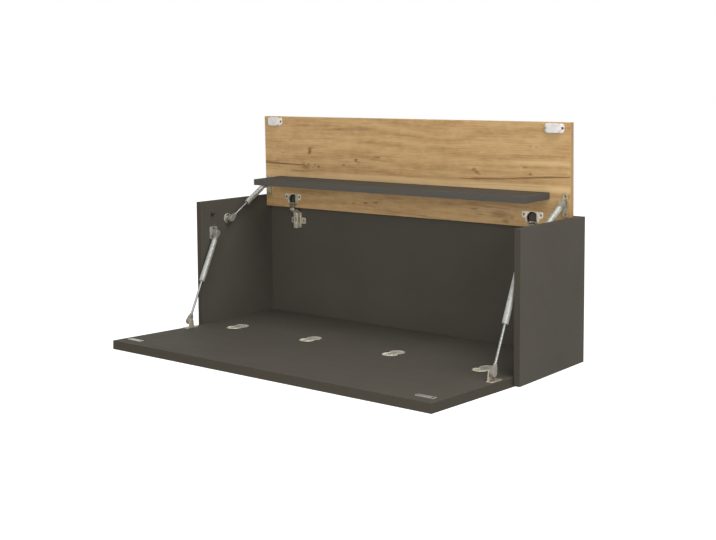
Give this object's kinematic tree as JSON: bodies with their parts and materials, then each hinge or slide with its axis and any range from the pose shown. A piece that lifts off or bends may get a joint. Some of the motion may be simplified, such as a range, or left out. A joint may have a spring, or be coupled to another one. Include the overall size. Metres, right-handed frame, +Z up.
{
  "type": "fold down wall desk",
  "caption": "Wall-hung desk: shallow carcass with a fold-down writing flap and a lift-up lid with a shelf, both carried by gas struts.",
  "frame": {"origin": "middle of the line between the entry holes of the two wall hanger plates, on the wall plane", "axes": "+X along the desk to its right as seen from the room, +Y into the wall, +Z up"},
  "size_m": [1, 0.6058, 0.5746],
  "materials": {
    "dark_board": "matt graphite melamine faced board with matching edge bands",
    "oak_board": "oak decor melamine faced board, matt, grain along the length",
    "zinc_steel": "zinc plated steel",
    "nickel_steel": "nickel plated steel",
    "strut_tube": "silver paint, satin",
    "strut_rod": "hard chromed and polished",
    "socket_plastic": "translucent grey plastic",
    "black_plastic": "black plastic",
    "white_plastic": "white moulded plastic",
    "seal": "black nitrile and nylon guide",
    "dowel_beech": "fluted beech"
  },
  "bodies": {
    "carcass": {"right_side_panel": "dark_board", "left_side_panel": "dark_board", "bottom_panel": "dark_board", "back_panel": "dark_board", "carcass_cam_discs": "zinc_steel", "carcass_cam_bolts": "zinc_steel", "carcass_dowels": "dowel_beech", "lid_rest_pegs": "black_plastic", "wall_hanger_plates": "zinc_steel", "lid_hinge_mounting_plates": "nickel_steel", "lid_hinge_arms": "nickel_steel", "lid_hinge_arm_screws": "nickel_steel", "flap_hinge_base_cups": "nickel_steel", "flap_strut_side_plates": "zinc_steel", "lid_strut_side_plates": "zinc_steel", "carcass_fitting_screws": "zinc_steel"},
    "flap": {"flap_panel": "dark_board", "flap_hinge_cups": "nickel_steel", "flap_hinge_pins": "nickel_steel", "flap_strut_brackets": "zinc_steel", "strike_plates": "zinc_steel", "flap_fitting_screws": "zinc_steel"},
    "lid": {"lid_panel": "oak_board", "lid_shelf": "dark_board", "shelf_cam_discs": "zinc_steel", "shelf_cam_bolts": "zinc_steel", "shelf_dowels": "dowel_beech", "lid_hinge_cups": "nickel_steel", "lid_hinge_pins": "nickel_steel", "magnet_housings": "white_plastic", "catch_magnets": "zinc_steel", "lid_strut_brackets": "zinc_steel", "lid_fitting_screws": "zinc_steel"},
    "right_flap_strut_rod_end": {"right_flap_strut_rod": "strut_rod", "right_flap_strut_rod_socket": "socket_plastic"},
    "right_flap_strut_tube_end": {"right_flap_strut_tube": "strut_tube", "right_flap_strut_tube_socket": "socket_plastic", "right_flap_strut_rod_guide": "seal", "right_flap_strut_ball_stud": "zinc_steel"},
    "right_lid_strut_tube_end": {"right_lid_strut_tube": "strut_tube", "right_lid_strut_tube_socket": "socket_plastic", "right_lid_strut_rod_guide": "seal"},
    "right_lid_strut_rod_end": {"right_lid_strut_rod": "strut_rod", "right_lid_strut_rod_socket": "socket_plastic", "right_lid_strut_ball_stud": "zinc_steel"},
    "left_flap_strut_rod_end": {"left_flap_strut_rod": "strut_rod", "left_flap_strut_rod_socket": "socket_plastic"},
    "left_flap_strut_tube_end": {"left_flap_strut_tube": "strut_tube", "left_flap_strut_tube_socket": "socket_plastic", "left_flap_strut_rod_guide": "seal", "left_flap_strut_ball_stud": "zinc_steel"},
    "left_lid_strut_tube_end": {"left_lid_strut_tube": "strut_tube", "left_lid_strut_tube_socket": "socket_plastic", "left_lid_strut_rod_guide": "seal"},
    "left_lid_strut_rod_end": {"left_lid_strut_rod": "strut_rod", "left_lid_strut_rod_socket": "socket_plastic", "left_lid_strut_ball_stud": "zinc_steel"}
  },
  "joints": [
    {"name": "flap_hinge", "type": "hinge", "parent": "carcass", "child": "flap", "pos_m": [0, -0.2753, -0.284], "axis": [-1, 0, 0], "range_deg": [0, 88]},
    {"name": "lid_hinge", "type": "hinge", "parent": "carcass", "child": "lid", "pos_m": [0, -0.0295, 0.0275], "axis": [1, 0, 0], "range_deg": [0, 89]},
    {"name": "left_flap_strut_swing", "type": "hinge", "parent": "flap", "child": "left_flap_strut_rod_end", "pos_m": [-0.47, -0.35704, -0.26083], "axis": [1, 0, 0], "range_deg": [0, 111.93]},
    {"name": "left_flap_strut_slide", "type": "slide", "parent": "left_flap_strut_rod_end", "child": "left_flap_strut_tube_end", "axis": [0, -0.433, -0.9014], "range_m": [0, 0.08365]},
    {"name": "right_flap_strut_swing", "type": "hinge", "parent": "flap", "child": "right_flap_strut_rod_end", "pos_m": [0.47, -0.35704, -0.26083], "axis": [1, 0, 0], "range_deg": [0, 111.93]},
    {"name": "right_flap_strut_slide", "type": "slide", "parent": "right_flap_strut_rod_end", "child": "right_flap_strut_tube_end", "axis": [0, -0.433, -0.9014], "range_m": [0, 0.08365]},
    {"name": "left_lid_strut_swing", "type": "hinge", "parent": "lid", "child": "left_lid_strut_tube_end", "pos_m": [-0.47, -0.05593, 0.08055], "axis": [-1, 0, 0], "range_deg": [0, 117.25]},
    {"name": "left_lid_strut_slide", "type": "slide", "parent": "left_lid_strut_tube_end", "child": "left_lid_strut_rod_end", "axis": [0, 0.8545, 0.5195], "range_m": [0, 0.05061], "stiffness_N_per_m": 100, "springref_m": -0.5},
    {"name": "right_lid_strut_swing", "type": "hinge", "parent": "lid", "child": "right_lid_strut_tube_end", "pos_m": [0.47, -0.05593, 0.08055], "axis": [-1, 0, 0], "range_deg": [0, 117.25]},
    {"name": "right_lid_strut_slide", "type": "slide", "parent": "right_lid_strut_tube_end", "child": "right_lid_strut_rod_end", "axis": [0, 0.8545, 0.5195], "range_m": [0, 0.05061], "stiffness_N_per_m": 100, "springref_m": -0.5}
  ],
  "couplings": [
    {"joint": "left_flap_strut_swing", "follows": "flap_hinge", "ratio": 1.2717},
    {"joint": "left_flap_strut_slide", "follows": "flap_hinge", "m_per_rad": 0.054452},
    {"joint": "right_flap_strut_swing", "follows": "flap_hinge", "ratio": 1.2717},
    {"joint": "right_flap_strut_slide", "follows": "flap_hinge", "m_per_rad": 0.054452},
    {"joint": "left_lid_strut_swing", "follows": "lid_hinge", "ratio": 1.3172},
    {"joint": "left_lid_strut_slide", "follows": "lid_hinge", "m_per_rad": 0.03257},
    {"joint": "right_lid_strut_swing", "follows": "lid_hinge", "ratio": 1.3172},
    {"joint": "right_lid_strut_slide", "follows": "lid_hinge", "m_per_rad": 0.03257}
  ]
}
